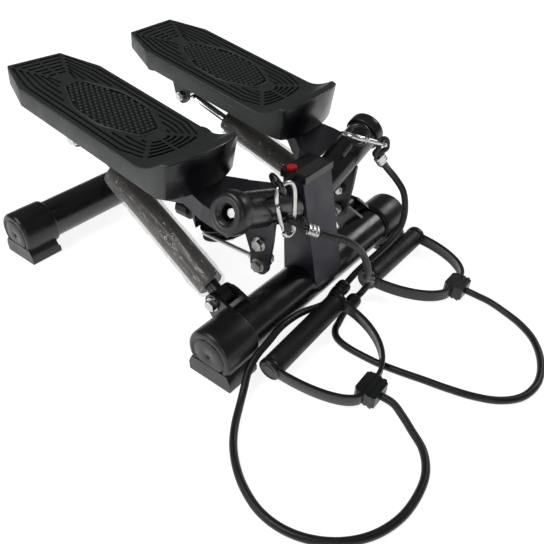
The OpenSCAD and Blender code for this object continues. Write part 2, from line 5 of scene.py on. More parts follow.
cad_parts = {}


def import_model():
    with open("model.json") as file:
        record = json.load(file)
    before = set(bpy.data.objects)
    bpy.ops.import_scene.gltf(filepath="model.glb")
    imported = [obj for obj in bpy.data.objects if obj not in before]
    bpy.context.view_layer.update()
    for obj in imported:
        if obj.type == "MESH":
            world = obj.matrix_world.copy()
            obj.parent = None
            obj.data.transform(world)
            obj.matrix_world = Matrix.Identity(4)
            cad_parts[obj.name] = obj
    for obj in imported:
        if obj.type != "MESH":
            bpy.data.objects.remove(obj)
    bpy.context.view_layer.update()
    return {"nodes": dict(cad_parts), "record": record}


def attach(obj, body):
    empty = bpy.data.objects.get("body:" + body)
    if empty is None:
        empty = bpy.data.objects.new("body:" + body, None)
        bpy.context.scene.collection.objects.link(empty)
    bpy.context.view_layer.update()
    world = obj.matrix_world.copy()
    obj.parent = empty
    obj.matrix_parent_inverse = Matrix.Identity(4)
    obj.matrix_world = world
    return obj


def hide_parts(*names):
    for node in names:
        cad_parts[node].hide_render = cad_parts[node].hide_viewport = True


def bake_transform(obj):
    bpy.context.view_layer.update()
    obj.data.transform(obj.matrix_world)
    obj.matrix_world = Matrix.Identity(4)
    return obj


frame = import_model()
FRAME_Y = 65.0                      # a machine Y plus this is a frame Y
sin, cos, pi = math.sin, math.cos, math.pi
rad = math.radians
V = Vector


# ---------------------------------------------------------------- helpers

def metres(p):
    return V((p[0] / 1000, (p[1] + FRAME_Y) / 1000, p[2] / 1000))


def curve_points(p, m):
    """Points of a smooth curve through p, m steps per span."""
    p, out = [V(q) for q in p], []
    n = len(p) - 1
    for i in range(n):
        a, b, c, d = p[max(i - 1, 0)], p[i], p[i + 1], p[min(i + 2, n)]
        for j in range(m):
            u = j / m
            out.append(0.5 * (2 * b + (c - a) * u + (2 * a - 5 * b + 4 * c - d) * u * u
                              + (3 * b - a - 3 * c + d) * u ** 3))
    return out + [p[n]]


def frames_along(p, closed=False):
    """Tangent and two carried normals at every point."""
    n, out, up = len(p), [], None
    for i in range(n):
        a = p[(i - 1) % n] if closed else p[max(i - 1, 0)]
        b = p[(i + 1) % n] if closed else p[min(i + 1, n - 1)]
        t = (b - a).normalized()
        if up is None:
            up = t.cross(V((0, 0, 1)) if abs(t.z) < 0.8 else V((1, 0, 0))).normalized()
        up = (up - up.dot(t) * t).normalized()
        out.append((t, up, t.cross(up)))
    return out


class Shape:
    """Vertices and faces in millimetres, gathered from several parts."""

    def __init__(self):
        self.v, self.f, self.slots = [], [], []

    def add(self, verts, faces, slot=0):
        k = len(self.v)
        self.v += [V(q) for q in verts]
        self.f += [[i + k for i in g] for g in faces]
        self.slots += [slot] * len(faces)
        return self

    def rings(self, rings, close_ring=True, caps=(True, True), slot=0, loop=False):
        """Skin over rings of equal length."""
        n, m = len(rings[0]), len(rings)
        verts = [q for r in rings for q in r]
        faces = []
        for i in range(m if loop else m - 1):
            for j in range(n if close_ring else n - 1):
                a, b = i * n + j, i * n + (j + 1) % n
                c, d = ((i + 1) % m) * n + (j + 1) % n, ((i + 1) % m) * n + j
                faces.append([a, b, c, d])
        if caps[0] and not loop:
            faces.append(list(range(n - 1, -1, -1)))
        if caps[1] and not loop:
            faces.append([(m - 1) * n + j for j in range(n)])
        return self.add(verts, faces, slot)

    def tube(self, p, r, k=16, closed=False, slot=0, caps=(True, True), squash=None):
        """Round bar along p; r is a number or one per point; squash flattens the second normal."""
        fr, rr = frames_along(p, closed), []
        for i, (q, (t, a, b)) in enumerate(zip(p, fr)):
            ri = r[i] if isinstance(r, (list, tuple)) else r
            rr.append([q + ri * (cos(2 * pi * j / k) * a + sin(2 * pi * j / k) * b * (squash or 1))
                       for j in range(k)])
        return self.rings(rr, True, caps, slot, closed)

    def lathe(self, profile, k=64, mat=None, slot=0, caps=(False, False)):
        """Profile points (radius, height) turned about Z, then moved by mat."""
        rr = [[V((r * cos(2 * pi * j / k), r * sin(2 * pi * j / k), z)) for j in range(k)]
              for r, z in profile]
        if mat is not None:
            rr = [[mat @ q for q in r] for r in rr]
        return self.rings(rr, True, caps, slot)

    def prism(self, outline, z0, z1, mat=None, slot=0):
        rr = [[V((x, y, z)) for x, y in outline] for z in (z0, z1)]
        if mat is not None:
            rr = [[mat @ q for q in r] for r in rr]
        return self.rings(rr, True, (True, True), slot)

    def object(self, name, mirror=False):
        sign = -1 if mirror else 1
        me = bpy.data.meshes.new(name)
        verts = [metres((sign * q.x, q.y, q.z)) for q in self.v]
        me.from_pydata(verts, [], [g[::-1] for g in self.f] if mirror else self.f)
        me.validate()
        me.polygons.foreach_set("material_index", self.slots[:len(me.polygons)])
        ob = bpy.data.objects.new(name, me)
        bpy.context.collection.objects.link(ob)
        return ob


def recalc(ob):
    import bmesh
    bm = bmesh.new()
    bm.from_mesh(ob.data)
    bmesh.ops.remove_doubles(bm, verts=bm.verts, dist=1e-6)
    bmesh.ops.recalc_face_normals(bm, faces=bm.faces)
    bm.to_mesh(ob.data)
    bm.free()


def soften(ob, width=0.0008, segments=2, angle=35):
    m = ob.modifiers.new("edges", "BEVEL")
    m.width, m.segments, m.limit_method, m.angle_limit = width, segments, "ANGLE", rad(angle)
    m.use_clamp_overlap = True
    m.harden_normals = False
    m.miter_outer = "MITER_ARC"


def smooth(ob, angle=40):
    for p in ob.data.polygons:
        p.use_smooth = True
    bpy.context.view_layer.objects.active = ob
    for o in bpy.context.selected_objects:
        o.select_set(False)
    ob.select_set(True)
    bpy.ops.object.shade_smooth_by_angle(angle=rad(angle))
    ob.select_set(False)


def piece(ob, body, mats, nodes=(), angle=40, bevel=None, fix=True):
    """Finishes a new piece: normals, shading, materials, body and the CAD nodes it stands for."""
    if fix:
        recalc(ob)
    for m in mats if isinstance(mats, (list, tuple)) else [mats]:
        ob.data.materials.append(m)
    smooth(ob, angle)
    if bevel:
        soften(ob, *bevel)
    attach(ob, body)
    if nodes:
        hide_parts(*nodes)
    return ob


def shift(x, y, z):
    return Matrix.Translation((x, y, z))


def turn(a, axis):
    return Matrix.Rotation(rad(a), 4, axis)


ALONG_X = turn(90, "Y")
AXLE = shift(0, -157, 126.5) @ turn(-20, "Y")
PEDAL = shift(91, 176, 238) @ turn(10.5, "X") @ turn(-2, "Y")


# ---------------------------------------------------------------- camera and light

def camera():
    az, el, roll = rad(-51.2), rad(37.64), rad(0.24)
    back = V((sin(az) * cos(el), -cos(az) * cos(el), sin(el)))
    right = V((cos(az), sin(az), 0))
    up = back.cross(right)
    r2, u2 = cos(roll) * right + sin(roll) * up, -sin(roll) * right + cos(roll) * up
    cam = bpy.data.objects.new("camera", bpy.data.cameras.new("camera"))
    bpy.context.collection.objects.link(cam)
    p = metres((-465.6, -485.6, 467.3))
    cam.matrix_world = Matrix(((r2.x, u2.x, back.x, p.x), (r2.y, u2.y, back.y, p.y),
                               (r2.z, u2.z, back.z, p.z), (0, 0, 0, 1)))
    cam.data.lens, cam.data.sensor_width = 39.28, 36
    cam.data.clip_start, cam.data.clip_end = 0.02, 30
    bpy.context.scene.camera = cam


def area(name, at, to, size, power, size_y=None):
    li = bpy.data.lights.new(name, "AREA")
    li.energy, li.size = power, size
    li.shape, li.size_y = "RECTANGLE", size_y or size
    ob = bpy.data.objects.new(name, li)
    bpy.context.collection.objects.link(ob)
    ob.location = at
    ob.rotation_euler = (V(to) - V(at)).to_track_quat("-Z", "Y").to_euler()


def lights():
    area("key", (-0.9, 0.5, 1.9), (0, 0, 0.1), 1.3, 17, 0.7)
    area("front", (-1.6, -1.5, 1.0), (0, -0.05, 0.12), 0.5, 4.5, 0.9)
    area("side", (1.7, -0.6, 1.3), (0, 0, 0.1), 0.8, 8, 0.5)
    area("low", (-1.4, 0.6, 0.45), (0, 0, 0.12), 0.4, 3, 0.3)


def world():
    """White behind the object, and a dim white light from all sides."""
    w = bpy.data.worlds.new("studio")
    bpy.context.scene.world = w
    w.use_nodes = True
    N, L = w.node_tree.nodes, w.node_tree.links
    N.clear()
    out, mix = N.new("ShaderNodeOutputWorld"), N.new("ShaderNodeMixShader")
    seen, lit = N.new("ShaderNodeBackground"), N.new("ShaderNodeBackground")
    path = N.new("ShaderNodeLightPath")
    for node, strength in ((seen, 1.0), (lit, 0.12)):
        node.inputs[0].default_value, node.inputs[1].default_value = (1, 1, 1, 1), strength
    L.new(path.outputs["Is Camera Ray"], mix.inputs[0])
    L.new(lit.outputs[0], mix.inputs[1])
    L.new(seen.outputs[0], mix.inputs[2])
    L.new(mix.outputs[0], out.inputs[0])


def floor():
    half, z = 9, -0.0002
    me = bpy.data.meshes.new("floor")
    corners = [(-half, -half, z), (half, -half, z), (half, half, z), (-half, half, z)]
    me.from_pydata(corners, [], [(0, 1, 2, 3)])
    ob = bpy.data.objects.new("floor", me)
    bpy.context.collection.objects.link(ob)
    m = bpy.data.materials.new("floor")
    m.use_nodes = True
    b = m.node_tree.nodes["Principled BSDF"]
    for socket, value in (("Base Color", (0.55, 0.55, 0.55, 1)), ("Roughness", 0.9),
                          ("Specular IOR Level", 0.1), ("Emission Color", (1, 1, 1, 1)),
                          ("Emission Strength", 0.86)):
        b.inputs[socket].default_value = value
    me.materials.append(m)
    vs = bpy.context.scene.view_settings
    vs.view_transform, vs.look, vs.exposure, vs.gamma = "Standard", "None", 0, 1


# ---------------------------------------------------------------- materials

def material(name, color, rough, metallic=0.0, grain=900, bump=0.05, vary=0.15, rough_vary=0.08,
             coat=0.0, coat_rough=0.1, alpha=1.0, spec=0.5, streak=None, edge=0.0):
    """Principled material with a fine bump, a broad colour and roughness variation, and a painted
    highlight: a lighter colour on sharp edges.
    """
    m = bpy.data.materials.new(name)
    m.use_nodes = True
    nt = m.node_tree
    N, L = nt.nodes, nt.links
    b = N["Principled BSDF"]
    tc = N.new("ShaderNodeTexCoord")
    where = tc.outputs["Object"]
    if streak:
        mp = N.new("ShaderNodeMapping")
        mp.inputs["Scale"].default_value = streak
        L.new(where, mp.inputs[0])
        where = mp.outputs[0]

    def tex(scale, detail=4):
        n = N.new("ShaderNodeTexNoise")
        n.inputs["Scale"].default_value, n.inputs["Detail"].default_value = scale, detail
        L.new(where, n.inputs["Vector"])
        return n.outputs["Fac"]

    def ramp(src, a, b2, lo=0.3, hi=0.7):
        r = N.new("ShaderNodeMapRange")
        r.inputs["From Min"].default_value, r.inputs["From Max"].default_value = lo, hi
        r.inputs["To Min"].default_value, r.inputs["To Max"].default_value = a, b2
        L.new(src, r.inputs["Value"])
        return r.outputs[0]

    broad, fine = tex(14, 5), tex(grain, 3)
    mix = N.new("ShaderNodeMix")
    mix.data_type = "RGBA"
    c = V(color)
    mix.inputs["A"].default_value = (*(c * (1 - vary)), 1)
    mix.inputs["B"].default_value = (*[min(1, x) for x in c * (1 + vary)], 1)
    L.new(ramp(broad, 0, 1), mix.inputs["Factor"])
    col = mix.outputs["Result"]
    # painted highlight: sharp convex edges get a lighter colour
    if edge:
        geo = N.new("ShaderNodeNewGeometry")
        edge_highlight = N.new("ShaderNodeMix")
        edge_highlight.data_type = "RGBA"
        edge_highlight.inputs["B"].default_value = (*[min(1, x * 2.2 + 0.03) for x in c], 1)
        L.new(col, edge_highlight.inputs["A"])
        L.new(ramp(geo.outputs["Pointiness"], 0, edge, 0.52, 0.62), edge_highlight.inputs["Factor"])
        col = edge_highlight.outputs["Result"]
    L.new(col, b.inputs["Base Color"])
    L.new(ramp(tex(55, 4), max(0.02, rough - rough_vary), min(1, rough + rough_vary)),
          b.inputs["Roughness"])
    bp = N.new("ShaderNodeBump")
    bp.inputs["Strength"].default_value, bp.inputs["Distance"].default_value = bump, 0.0006
    L.new(fine, bp.inputs["Height"])
    L.new(bp.outputs[0], b.inputs["Normal"])
    b.inputs["Metallic"].default_value = metallic
    b.inputs["Specular IOR Level"].default_value = spec
    b.inputs["Coat Weight"].default_value = coat
    b.inputs["Coat Roughness"].default_value = coat_rough
    b.inputs["Alpha"].default_value = alpha
    return m


# colour, roughness and what differs from a plain plastic
LOOKS = {
    "gloss_black": dict(color=(0.006, 0.006, 0.007), rough=0.27, grain=1400, bump=0.04, coat=0.3,
                        coat_rough=0.22),
    "satin_black": dict(color=(0.009, 0.01, 0.015), rough=0.38, grain=1800, bump=0.08),
    "post_black": dict(color=(0.011, 0.012, 0.024), rough=0.4, grain=1800, bump=0.08),
    "cap_plastic": dict(color=(0.008, 0.008, 0.009), rough=0.34, grain=1600, bump=0.07),
    "monitor_plastic": dict(color=(0.005, 0.005, 0.006), rough=0.2, grain=900, bump=0.02),
    "monitor_window": dict(color=(0.004, 0.004, 0.005), rough=0.05, grain=300, bump=0.005, coat=1),
    "button_red": dict(color=(0.62, 0.012, 0.01), rough=0.3, grain=900, bump=0.03),
    "zinc_steel": dict(color=(0.6, 0.6, 0.58), rough=0.3, metallic=1, grain=500, bump=0.06,
                       vary=0.12),
    "coated_cable": dict(color=(0.45, 0.45, 0.44), rough=0.3, metallic=0.6, grain=700, bump=0.3,
                         streak=(1, 0.2, 1), coat=0.5),
    "nylon": dict(color=(0.7, 0.7, 0.64), rough=0.5, grain=900),
    # edge: strength of the painted highlight on the pedal's sharp edges
    "pedal_plastic": dict(color=(0.022, 0.027, 0.025), rough=0.46, grain=2200, bump=0.12, vary=0.12,
                          edge=0.35),
    # floors and walls of the grooves and of the sunk nub field: pedal plastic darkened as painted
    # shade
    "groove_painted_shade": dict(color=(0.003, 0.003, 0.003), rough=0.75, grain=2200, bump=0.1),
    # the toe wall's front face: pedal plastic darkened as painted shade, and glossier
    "toe_painted_shade": dict(color=(0.004, 0.004, 0.006), rough=0.28, grain=2200, bump=0.08),
    "rubber": dict(color=(0.005, 0.005, 0.005), rough=0.45, grain=1500, bump=0.1),
    "foam": dict(color=(0.006, 0.006, 0.006), rough=0.5, grain=1100, bump=0.35),
    "handle_plastic": dict(color=(0.008, 0.009, 0.01), rough=0.34, grain=1900, bump=0.08),
    "shock_paint": dict(color=(0.01, 0.01, 0.012), rough=0.3, grain=900, bump=0.05),
    "chrome": dict(color=(0.88, 0.88, 0.9), rough=0.07, metallic=1, grain=300, bump=0.01, vary=0.03,
                   rough_vary=0.03),
}
MAT = {name: material(name, **look) for name, look in LOOKS.items()}
MAT["clear_film"] = material("film_clear", (0.42, 0.4, 0.37), 0.12, grain=260, bump=0.6, vary=0.12,
                             alpha=0.24, spec=1.0, streak=(1, 0.3, 0.6))


# ---------------------------------------------------------------- the elastic bands

RIGHT_ROUTE = [
    (-48, -209, 134), (-40, -217, 129), (-28, -226, 122), (-16, -234, 111), (-6, -239, 98),
    (1, -242, 82), (8, -242, 64), (16.5, -236.5, 48.5), (32, -235, 37.5), (36.5, -231.5, 27.5),
    (33.5, -227.5, 19), (27, -225.5, 13.5), (19, -224.5, 12), (0, -225.5, 10), (-12, -226.5, 7),
    (-24, -229, 4.5), (-35, -232, 4.3), (-44, -239, 4.3), (-49, -250, 4.3), (-51, -264, 4.3),
    (-51, -281, 4.3), (-50, -299, 4.3), (-46, -322, 4.3), (-41, -345, 4.3), (-36, -370, 4.3),
    (-29, -395, 4.3), (-18, -417, 4.3), (0, -433, 4.3), (24, -439, 4.3), (48, -436, 4.3),
    (72, -426, 4.3), (92, -411, 4.3), (106, -392, 4.3), (115, -371, 4.3), (119, -350, 6.5),
    (118, -332.9, 8.5), (118, -318.9, 9.1)]
LEFT_ROUTE = [
    (98, -196, 150), (106, -199, 139), (114, -206.5, 126), (118, -217, 111), (117, -223, 95),
    (113, -226, 79), (105, -226, 65), (92, -223, 54), (75, -219, 46), (57, -214, 38),
    (40, -210, 31), (22, -207.4, 22.8), (-4, -205.6, 15), (-20, -203.5, 15.5), (-37, -202.5, 21),
    (-56, -202.5, 29), (-78, -202.5, 34.5), (-100, -203, 36.5), (-122, -205, 34),
    (-142, -205.5, 29), (-158, -208, 21), (-172, -214, 11), (-188, -222, 6), (-207, -233, 4.3),
    (-225, -247, 4.3), (-240, -264, 4.3), (-252, -284, 4.3), (-260, -308, 4.3), (-260, -333, 4.3),
    (-252, -357, 4.3), (-237, -378, 4.3), (-216, -394, 4.3), (-190, -403, 4.3), (-163, -404, 4.3),
    (-139, -399, 4.3), (-119, -386, 4.3), (-106, -367, 4.8), (-97.5, -352, 6.8),
    (-93.2, -339.2, 10.7), (-93.3, -325.2, 11.7)]


def band(side, route):
    """A cord as a curve along its route."""
    pts = curve_points(route, 6)
    cu = bpy.data.curves.new(side + "_cord", "CURVE")
    cu.dimensions, cu.bevel_depth, cu.bevel_resolution, cu.use_fill_caps = "3D", 0.004, 5, True
    sp = cu.splines.new("POLY")
    sp.points.add(len(pts) - 1)
    for q, p in zip(sp.points, pts):
        q.co = (*metres(p), 1)
    sp.use_smooth = True
    ob = bpy.data.objects.new(side + "_cord", cu)
    bpy.context.collection.objects.link(ob)
    cu.materials.append(MAT["rubber"])
    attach(ob, "frame")
    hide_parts(side + "_band_cord")
    tuple(metres(route[0]))
    return ob


def hook_basis(hook):
    """X across the hook, Y down its length, origin at the top of its wide end."""
    a0, across = V(hook["ends"][0]), V(hook["across"])
    d = (V(hook["ends"][1]) - a0).normalized()
    a = (across - across.dot(d) * d).normalized()
    n = a.cross(d)
    return Matrix(((a.x, d.x, n.x, a0.x), (a.y, d.y, n.y, a0.y), (a.z, d.z, n.z, a0.z), (0, 0, 0, 1)))


# each hook's two ends and across direction, and the loop: its place on the hook, the run of the
# hook's wire there, and the cord it belongs to
HOOKS = {
    "right": dict(ends=((-66.5, -179.3, 186.5), (-65, -186, 129)), across=(0.99, -0.13, 0),
                  at=(8.6, 44), run=(-1.6, 11.4), route=RIGHT_ROUTE),
    "left": dict(ends=((44.5, -175.8, 197), (93.5, -195.8, 173.5)), across=(0.32, 0.94, -0.14),
                 at=(0, 58), run=(1, 0), route=LEFT_ROUTE)}
# outline of the bent wire, from the wide end down one side, round the nose
HOOK_SIDE = [
    (-12.4, 17), (-12, 9), (-8, 2.2), (0, 0), (8, 2.2), (12, 9), (12.4, 17), (11, 27), (9.3, 38),
    (8.2, 47), (7.6, 51), (5.6, 55.8), (0, 58), (-5.6, 55.8), (-7.6, 51)]


def snap_hook(side):
    """The bent wire of a hook and its gate on a rivet."""
    B = hook_basis(HOOKS[side])
    p = [B @ q for q in curve_points([(x, y, 0) for x, y in HOOK_SIDE], 6)]
    r = [2.4] * len(p)
    r[0], r[1], r[-1], r[-2] = 1.7, 2.2, 1.7, 2.2
    piece(Shape().tube(p, r, 16).object(side + "_hook"), "frame",
          MAT["zinc_steel"], [side + "_snap_hook"])
    g = curve_points([(-8, 48.4, 0), (-9.6, 37, 0), (-11.2, 27, 0), (-12.3, 19.4, 0)], 5)
    r = [2.1 if 2 < i < len(g) - 3 else 1.5 for i in range(len(g))]
    s = Shape().tube([B @ q for q in g], r, 16)
    s.tube([B @ V((-12.3, 19.4, z)) for z in (-2.9, -2.5, 2.5, 2.9)], [0.8, 1.2, 1.2, 0.8], 12)
    piece(s.object(side + "_gate"), side + "_gate", MAT["zinc_steel"],
          [side + "_hook_gate"])


LOOP_R, LOOP_WIRE, CRIMP_R = 6.1, 3.2, 4.4
# height along the crimp and share of its full girth: two pressed rings
CRIMP_RINGS = [
    (0, 0.9), (0.4, 0.98), (0.9, 1), (3.2, 1), (3.7, 0.93), (4.2, 0.93), (4.7, 1), (7.4, 1),
    (7.9, 0.93), (8.4, 0.93), (8.9, 1), (11.1, 1), (11.6, 0.98), (12, 0.9)]


def loop_and_crimp():
    """The cord's loop in each hook, and the pressed crimp that holds it."""
    loops, crimps = Shape(), Shape()
    for hook in HOOKS.values():
        B = hook_basis(hook)
        c = B @ V((*hook["at"], 0))
        w = (B @ V((*hook["run"], 0)) - B @ V((0, 0, 0))).normalized()
        p0 = V(hook["route"][0])
        t = (p0 - V(hook["route"][1])).normalized()
        p = p0 + 12 * t
        g = c - p
        e = (g - g.dot(w) * w).normalized()
        v = w.cross(e).normalized()
        pts = [p + 3.4 * v, p + 3.4 * v + 5 * t, c + LOOP_R * v - 5 * e]
        pts += [c + LOOP_R * (cos(rad(a)) * v + sin(rad(a)) * e) for a in range(0, 181, 30)]
        pts += [c - LOOP_R * v - 5 * e, p - 3.4 * v + 5 * t, p - 3.4 * v]
        loops.tube(curve_points(pts, 4), LOOP_WIRE, 14)
        # the short end of the cord that shows below the crimp
        vc = (v - v.dot(t) * t).normalized()
        loops.tube([p0 - 3 * vc + 2 * t, p0 - 3.2 * vc - 3 * t, p0 - 3.3 * vc - 4.6 * t],
                   [LOOP_WIRE, LOOP_WIRE, 2.2], 14)
        n = vc.cross(t)

        def oval(z, k):
            out = []
            for j in range(32):
                a = 2 * pi * j / 32
                x = (3 if cos(a) > 0 else -3) + CRIMP_R * k * cos(a)
                out.append(p0 + x * k * vc + CRIMP_R * k * sin(a) * n + z * t)
            return out
        crimps.rings([oval(z, k) for z, k in CRIMP_RINGS])
    piece(loops.object("cord_loops"), "frame", MAT["rubber"], ["band_loops"])
    piece(crimps.object("crimps"), "frame", MAT["zinc_steel"], ["band_crimps"])


def stoppers():
    """The moulded stopper on each cord, a lathed body along the cord."""
    s = Shape()
    for a, b in (((19, -224.5, 12), (0, -225.5, 10)), ((22, -207.4, 22.8), (-4, -205.6, 15))):
        a, b = V(a), V(b)
        q = (b - a).normalized().to_track_quat("Z", "Y").to_matrix().to_4x4()
        L = (b - a).length
        s.lathe([(4.4, 0.3), (6.2, 0), (7.2, 0.6), (8.2, 2.4), (8.6, 4), (8.8, L * 0.4),
                 (8.2, L * 0.45), (8.2, L * 0.5), (8.9, L * 0.55), (8.4, L * 0.75), (7.6, L - 2),
                 (6.6, L - 0.4), (5.8, L), (4.4, L - 0.3)], 48, Matrix.Translation(a) @ q)
    piece(s.object("stoppers"), "frame", MAT["handle_plastic"], ["band_stoppers"])


# ---------------------------------------------------------------- band handles

GRIP_HALF = 60.5                    # from the middle of a grip to the middle of its end disc


def strap_mid(a):
    """Middle line of the strap: a quarter ellipse from each end disc to the cord block at a."""
    h, turns = GRIP_HALF, [rad(t) for t in range(0, 91, 15)]
    near = [(-h + (a[0] - 12 + h) * (1 - cos(t)), (a[1] + 1) * sin(t)) for t in turns]
    far = [(h - (h - a[0] - 12) * (1 - cos(t)), (a[1] + 1) * sin(t)) for t in turns]
    return [(-h, 4)] + near + far[::-1] + [(h, 4)]


def handle(side, at, lie, a):
    """Strap with end discs, core bar and cord block at a, and the foam grip on the bar."""
    H = shift(*at) @ turn(-lie[1], "Y") @ turn(lie[0], "X")
    s = Shape()
    m = [V((q.x, q.y, 0)) for q in curve_points([(x, y, 0) for x, y in strap_mid(a)], 4)]
    rings = []
    section = [(-7.5, -1.5), (-6.9, -2.1), (-6.2, -2.3), (6.2, -2.3), (6.9, -2.1), (7.5, -1.5),
               (7.5, 1.5), (6.9, 2.1), (6.1, 2.3), (5, 1.8), (-5, 1.8), (-6.1, 2.3), (-6.9, 2.1),
               (-7.5, 1.5)]
    for q, (t, _, _) in zip(m, frames_along(m)):
        nrm = V((-t.y, t.x, 0))
        rings.append([H @ (q + nrm * w + V((0, 0, z))) for z, w in section])
    s.rings(rings)
    for e in (-1, 1):
        prof = [(0, -4), (11.2, -4), (12.4, -3.6), (13, -2.6), (13, 2.6), (12.4, 3.6), (11.2, 4),
                (10.2, 4), (9.7, 3.4), (7.4, 3.4), (6.9, 4), (2, 4), (0, 4)]
        s.lathe([(r, e * z) for r, z in prof][::e], 56, H @ shift(e * GRIP_HALF, 0, 0) @ ALONG_X)
    s.lathe([(0, -57), (6, -57), (6, 57), (0, 57)], 32, H @ ALONG_X)
    # cord block with its ribs
    x0, y0 = a[0], a[1]
    block = [(-14, -9), (-12, -13), (12, -13), (14, -9), (14, 8), (11, 11), (-11, 11), (-14, 8)]
    s.prism(block, -8, 8, H @ shift(x0, y0, 0))
    for y in (-10.5, -4.5, 1.5):
        rib = [(-14.2, y), (14.2, y), (14.2, y + 3.4), (-14.2, y + 3.4)]
        s.prism(rib, -9, 9, H @ shift(x0, y0, 0))
    ob = s.object(side + "_handle")
    piece(ob, "frame", MAT["handle_plastic"], [side + "_handle_frame"],
          bevel=(0.0007, 2, 40))
    g = Shape()
    prof = [(6.1, -56.2), (11.2, -56.2), (12.1, -55.8), (12.5, -54.8), (12.5, -50), (12.5, -20),
            (12.5, 0)]
    g.lathe(prof + [(r, -z) for r, z in prof[-2::-1]], 64, H @ ALONG_X)
    piece(g.object(side + "_grip_foam"), side + "_grip", MAT["foam"], [side + "_handle_grip"])


# ---------------------------------------------------------------- pedals

def half_width(y):
    """Half width of the pedal at y behind or before its rear edge."""
    if y > -50:
        return 36 + 19 * min(1, -y / 50)
    if y < -258:
        return 55 - 5 * min(1, (-258 - y) / 25) ** 2.2
    return 55.0


def crest(x):
    """Height of the toe wall's crest across the pedal; x is positive outwards."""
    return 24 - 6 * abs(x / 50) ** 2.5


def tread(x, y):
    start = -230 - 10 * (1 - (x / 55) ** 2)
    u = min(1.0, max(0.0, (start - y) / 36))
    return crest(x) * u ** 1.9


def strip(points, w, z0, z1):
    """Closed strip along flat points, mitred, for cutting a groove."""
    p = [V((x, y, 0)) for x, y in points]
    left, right = [], []
    for i, q in enumerate(p):
        t0 = (p[i] - p[i - 1]).normalized() if i else (p[1] - p[0]).normalized()
        t1 = (p[i + 1] - p[i]).normalized() if i < len(p) - 1 else t0
        n = V((-(t0.y + t1.y), t0.x + t1.x, 0)).normalized()
        k = w / 2 / max(0.4, n.dot(V((-t0.y, t0.x, 0))))
        left.append(q + n * k)
        right.append(q - n * k)
    ring = left + right[::-1]
    return [[V((q.x, q.y, z)) for q in ring] for z in (z0, z1)]


LOZENGE = [
    (-11, -70), (11, -70), (34, -116), (34, -160), (13, -200), (-13, -200), (-34, -160),
    (-34, -116)]


def inside(x, y, poly, grow=0.0):
    """True in a convex outline, or within grow of it."""
    for i, (ax, ay) in enumerate(poly):
        bx, by = poly[(i + 1) % len(poly)]
        nx, ny = by - ay, -(bx - ax)
        l = math.hypot(nx, ny)
        if ((x - ax) * nx + (y - ay) * ny) / l > grow:
            return False
    return True


def clipped(points, step=2.0):
    """The runs of a polyline that stay outside the nub field."""
    dense = []
    for (ax, ay), (bx, by) in zip(points, points[1:]):
        n = max(1, int(math.hypot(bx - ax, by - ay) / step))
        dense += [(ax + (bx - ax) * i / n, ay + (by - ay) * i / n, i == 0) for i in range(n)]
    dense.append((*points[-1], True))
    runs, run = [], []
    for x, y, corner in dense:
        if inside(x, y, LOZENGE[::-1], 5.5):
            if len(run) > 3:
                runs.append(run)
            run = []
        else:
            run.append((x, y, corner))
    if len(run) > 3:
        runs.append(run)
    return [[(x, y) for k, (x, y, c) in enumerate(r) if c or k in (0, len(r) - 1)] for r in runs]


def skin(side, mirror):
    """The moulding: tread and toe wall as a grid, then its side wall turned in under the rim."""
    ys = [0, -1.2, -4, -10, -20, -30, -40, -50, -54, -70, -100, -130, -160, -190, -215] + \
        [-222 - 2.5 * i for i in range(22)] + [-278.5, -280.5, -282.4]
    cols = 24
    grid = []
    for y in ys:
        row = []
        w = half_width(y) - 1.6
        for i in range(cols + 1):
            x = w * (2 * i / cols - 1)
            ahead = min(1.0, max(0.0, (-232 - y) / 50))
            yy = y - 0.6 + ahead * (9 - 10 * (1 - abs(x / w) ** 2.6))
            row.append(V((x, yy, tread(x, yy))))
        grid.append(row)
    n, last = cols + 1, len(ys) - 1
    verts = [q for r in grid for q in r]
    faces = [[i * n + j, (i + 1) * n + j, (i + 1) * n + j + 1, i * n + j + 1]
             for i in range(last) for j in range(cols)]
    loop = [(0, j) for j in range(n)] + [(i, cols) for i in range(1, last + 1)] + \
        [(last, j) for j in range(cols - 1, -1, -1)] + [(i, 0) for i in range(last - 1, 0, -1)]
    base = [grid[i][j] for i, j in loop]
    m = len(base)
    outs = []
    for k in range(m):
        t = base[(k + 1) % m] - base[k - 1]
        outs.append(-V((t.y, -t.x, 0)).normalized())

    def ring(out, drop, level=None):
        return [V((q.x + o.x * out, q.y + o.y * out, (q.z - drop) if level is None else level))
                for q, o in zip(base, outs)]
    rings = [ring(0.8, 0.25), ring(1.35, 0.8), ring(1.6, 1.7), ring(1.2, 0, -20.5),
             ring(0.7, 0, -21.6), ring(0, 0, -22), ring(-2.2, 0, -22), ring(-2.4, 0, -4.5)]
    k0 = len(verts)
    verts += [q for r in rings for q in r]
    idx = [[i * n + j for i, j in loop]]
    idx += [[k0 + r * m + k for k in range(m)] for r in range(len(rings))]
    for a, b in zip(idx, idx[1:]):
        for k in range(m):
            faces.append([a[k], a[(k + 1) % m], b[(k + 1) % m], b[k]])
    faces.append(idx[-1])
    ob = Shape().add([PEDAL @ q for q in verts], faces).object(side + "_footplate", mirror)
    recalc(ob)
    return ob


GROOVE_W, GROOVE_STEP, GROOVE_DEPTH = 3, 7.4, 2.4


